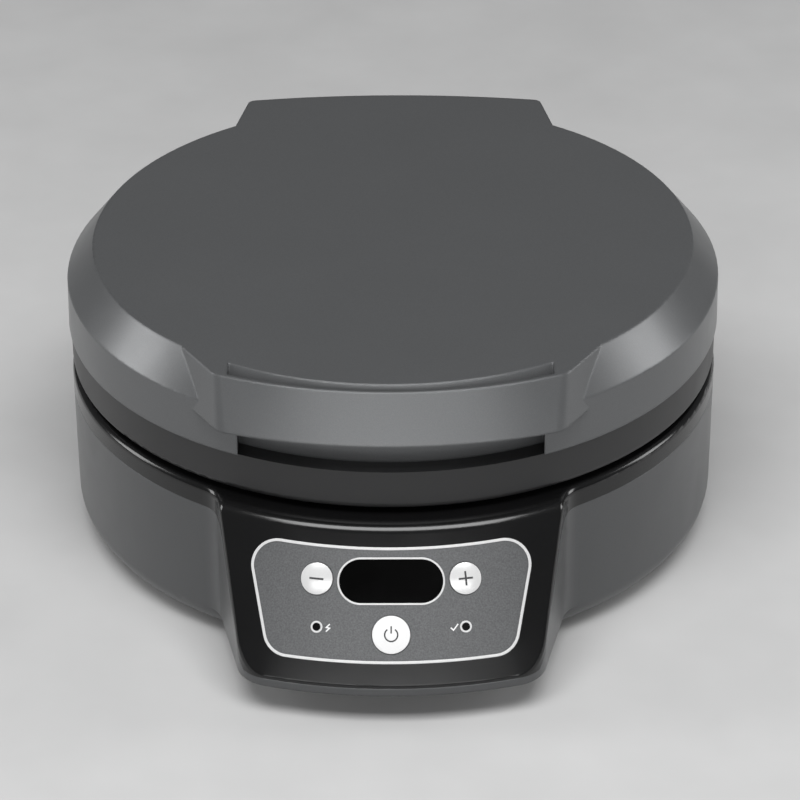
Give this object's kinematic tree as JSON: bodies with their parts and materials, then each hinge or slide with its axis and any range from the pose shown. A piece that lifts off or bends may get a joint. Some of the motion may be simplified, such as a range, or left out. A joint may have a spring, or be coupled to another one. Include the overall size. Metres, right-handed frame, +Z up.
{
  "type": "omelette maker",
  "caption": "Round countertop cooker with a hinged lid, a front handle, paired shallow cooking plates, and a leaning control panel with push buttons and a display window.",
  "frame": {"origin": "centre of the whole object's footprint, on the surface it stands on", "axes": "+Z up; the control panel and the lid's handle face -Y; the hinge is at +Y; +X is the user's right when facing the panel"},
  "size_m": [0.2908, 0.3332, 0.1321],
  "materials": {
    "grey_cover": "satin dark grey metallic paint, fine grain",
    "grey_shell": "satin dark grey metallic paint, fine grain",
    "black_plastic": "semi-gloss black moulding",
    "cover_plastic": "matte black moulding",
    "foot_rubber": "matte",
    "plate_coating": "satin non-stick coating on cast metal",
    "heater_steel": "dull oxidised tube",
    "shield_steel": "bright pressed sheet",
    "screw_steel": "satin",
    "hinge_steel": "satin",
    "fascia_paint": "satin grey metallic paint, fine grain",
    "border_silver": "bright line",
    "display_glass": "glossy smoked black",
    "button_silver": "satin silver-white paint",
    "lamp_lens": "smoked, unlit",
    "board_green": "circuit board laminate",
    "part_black": "moulded electrical part",
    "sensor_metal": "satin",
    "fuse_sleeve": "woven glass sleeve over the fuse"
  },
  "bodies": {
    "base": {"base_deck": "black_plastic", "base_shell": "grey_shell", "board_screws": "screw_steel", "bottom_cover": "cover_plastic", "button_switches": "part_black", "case_screws": "screw_steel", "control_board": "board_green", "cord_gland": "cover_plastic", "cover_screws": "screw_steel", "display_module": "part_black", "display_window": "display_glass", "fascia": "fascia_paint", "fascia_border": "border_silver", "feet": "foot_rubber", "hinge_bracket_left": "hinge_steel", "hinge_bracket_right": "hinge_steel", "hinge_bracket_screws": "screw_steel", "hinge_pin_left": "hinge_steel", "hinge_pin_right": "hinge_steel", "lens_rings": "border_silver", "lower_heat_shield": "shield_steel", "lower_heating_element": "heater_steel", "lower_plate": "plate_coating", "lower_plate_screws": "screw_steel", "lower_thermal_fuse": "fuse_sleeve", "power_board": "board_green", "power_board_screws": "screw_steel", "power_lens": "lamp_lens", "ready_lens": "lamp_lens", "status_leds": "lamp_lens", "temperature_sensor": "sensor_metal", "terminal_block": "part_black", "window_border": "border_silver"},
    "lid": {"lid_cover": "grey_cover", "lid_liner": "black_plastic", "lid_screws": "screw_steel", "upper_plate": "plate_coating", "upper_heating_element": "heater_steel", "upper_heat_shield": "shield_steel", "upper_plate_screws": "screw_steel", "upper_thermal_fuse": "fuse_sleeve", "lid_hinge_arm_left": "hinge_steel", "lid_hinge_arm_right": "hinge_steel", "hinge_arm_screws": "screw_steel"},
    "minus_button": {"minus_button": "button_silver"},
    "plus_button": {"plus_button": "button_silver"},
    "start_button": {"start_button": "button_silver"}
  },
  "joints": [
    {"name": "lid_hinge", "type": "hinge", "parent": "base", "child": "lid", "pos_m": [0, 0.152, 0.0795], "axis": [-1, 0, 0], "range_deg": [0, 100]},
    {"name": "minus_button_press", "type": "slide", "parent": "base", "child": "minus_button", "axis": [0.1581, 0.8332, -0.5299], "range_m": [0, 0.0008], "stiffness_N_per_m": 1900, "springref_m": -0.0003},
    {"name": "plus_button_press", "type": "slide", "parent": "base", "child": "plus_button", "axis": [-0.1581, 0.8332, -0.5299], "range_m": [0, 0.0008], "stiffness_N_per_m": 1900, "springref_m": -0.0003},
    {"name": "start_button_press", "type": "slide", "parent": "base", "child": "start_button", "axis": [0, 0.848, -0.5299], "range_m": [0, 0.0008], "stiffness_N_per_m": 1900, "springref_m": -0.0003}
  ]
}
